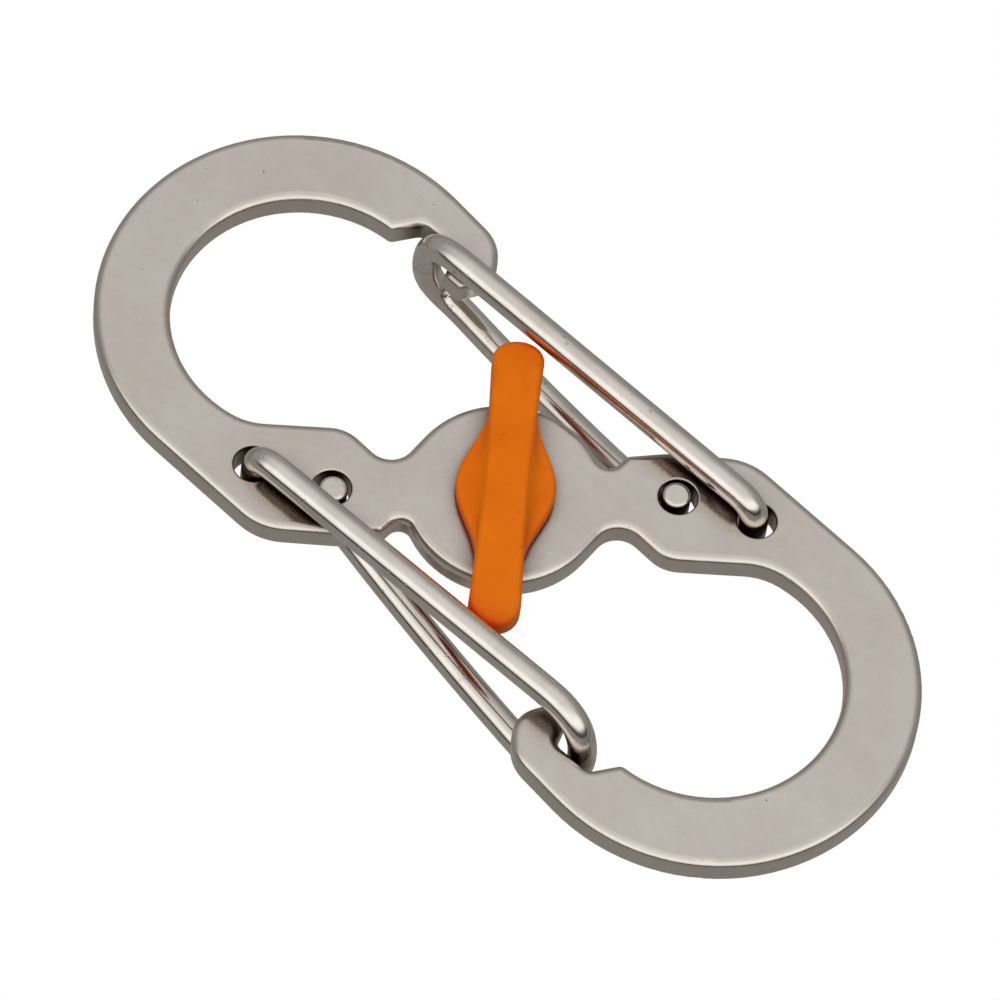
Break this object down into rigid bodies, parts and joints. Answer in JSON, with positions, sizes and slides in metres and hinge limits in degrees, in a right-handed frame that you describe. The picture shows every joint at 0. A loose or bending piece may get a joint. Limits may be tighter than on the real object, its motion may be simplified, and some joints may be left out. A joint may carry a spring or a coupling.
{
  "type": "double-ended carabiner keyring",
  "caption": "Flat stamped steel S-shaped keyring clip with an eye at each end, each closed by a sprung wire gate, and a turning plastic lever that locks both gates.",
  "frame": {"origin": "the lever's pivot in the middle of the steel plate's thickness, which is also the centroid of the keyring to within 0.1 mm", "axes": "+X along the keyring's length towards eye B, +Y across it, +Z out of the front face, towards the lever's handle"},
  "size_m": [0.0434, 0.0194, 0.0064],
  "materials": {
    "stamped_steel": "tumbled satin stainless steel with softly rounded edges",
    "wire_steel": "bright drawn stainless spring wire",
    "lever_plastic": "smooth semi-gloss moulded orange plastic"
  },
  "bodies": {
    "frame": {"frame_plate": "stamped_steel"},
    "lever": {"lock_lever": "lever_plastic", "back_cap": "lever_plastic"},
    "gate_a_front_limb": {"gate_a_front": "wire_steel"},
    "gate_a_back_limb": {"gate_a_back": "wire_steel"},
    "gate_b_front_limb": {"gate_b_front": "wire_steel"},
    "gate_b_back_limb": {"gate_b_back": "wire_steel"}
  },
  "joints": [
    {"name": "lever_turn", "type": "hinge", "parent": "frame", "child": "lever", "pos_m": [0, 0, 0], "axis": [0, 0, 1], "range_deg": [0, 52]},
    {"name": "gate_a_open", "type": "hinge", "parent": "frame", "child": "gate_a_front_limb", "pos_m": [0.00883, 0.0067, 0], "axis": [0, 0, 1], "range_deg": [0, 11]},
    {"name": "gate_a_flex", "type": "hinge", "parent": "gate_a_front_limb", "child": "gate_a_back_limb", "pos_m": [-0.01078, 0.0068, 0], "axis": [0, 0, 1], "range_deg": [0, 2.21]},
    {"name": "gate_b_open", "type": "hinge", "parent": "frame", "child": "gate_b_front_limb", "pos_m": [-0.00883, -0.0067, 0], "axis": [0, 0, 1], "range_deg": [0, 11]},
    {"name": "gate_b_flex", "type": "hinge", "parent": "gate_b_front_limb", "child": "gate_b_back_limb", "pos_m": [0.01078, -0.0068, 0], "axis": [0, 0, 1], "range_deg": [0, 2.21]}
  ],
  "couplings": [
    {"joint": "gate_a_open", "follows": "lever_turn", "ratio": 0.21153},
    {"joint": "gate_a_flex", "follows": "lever_turn", "ratio": 0.04249},
    {"joint": "gate_b_open", "follows": "lever_turn", "ratio": 0.21153},
    {"joint": "gate_b_flex", "follows": "lever_turn", "ratio": 0.04249}
  ]
}
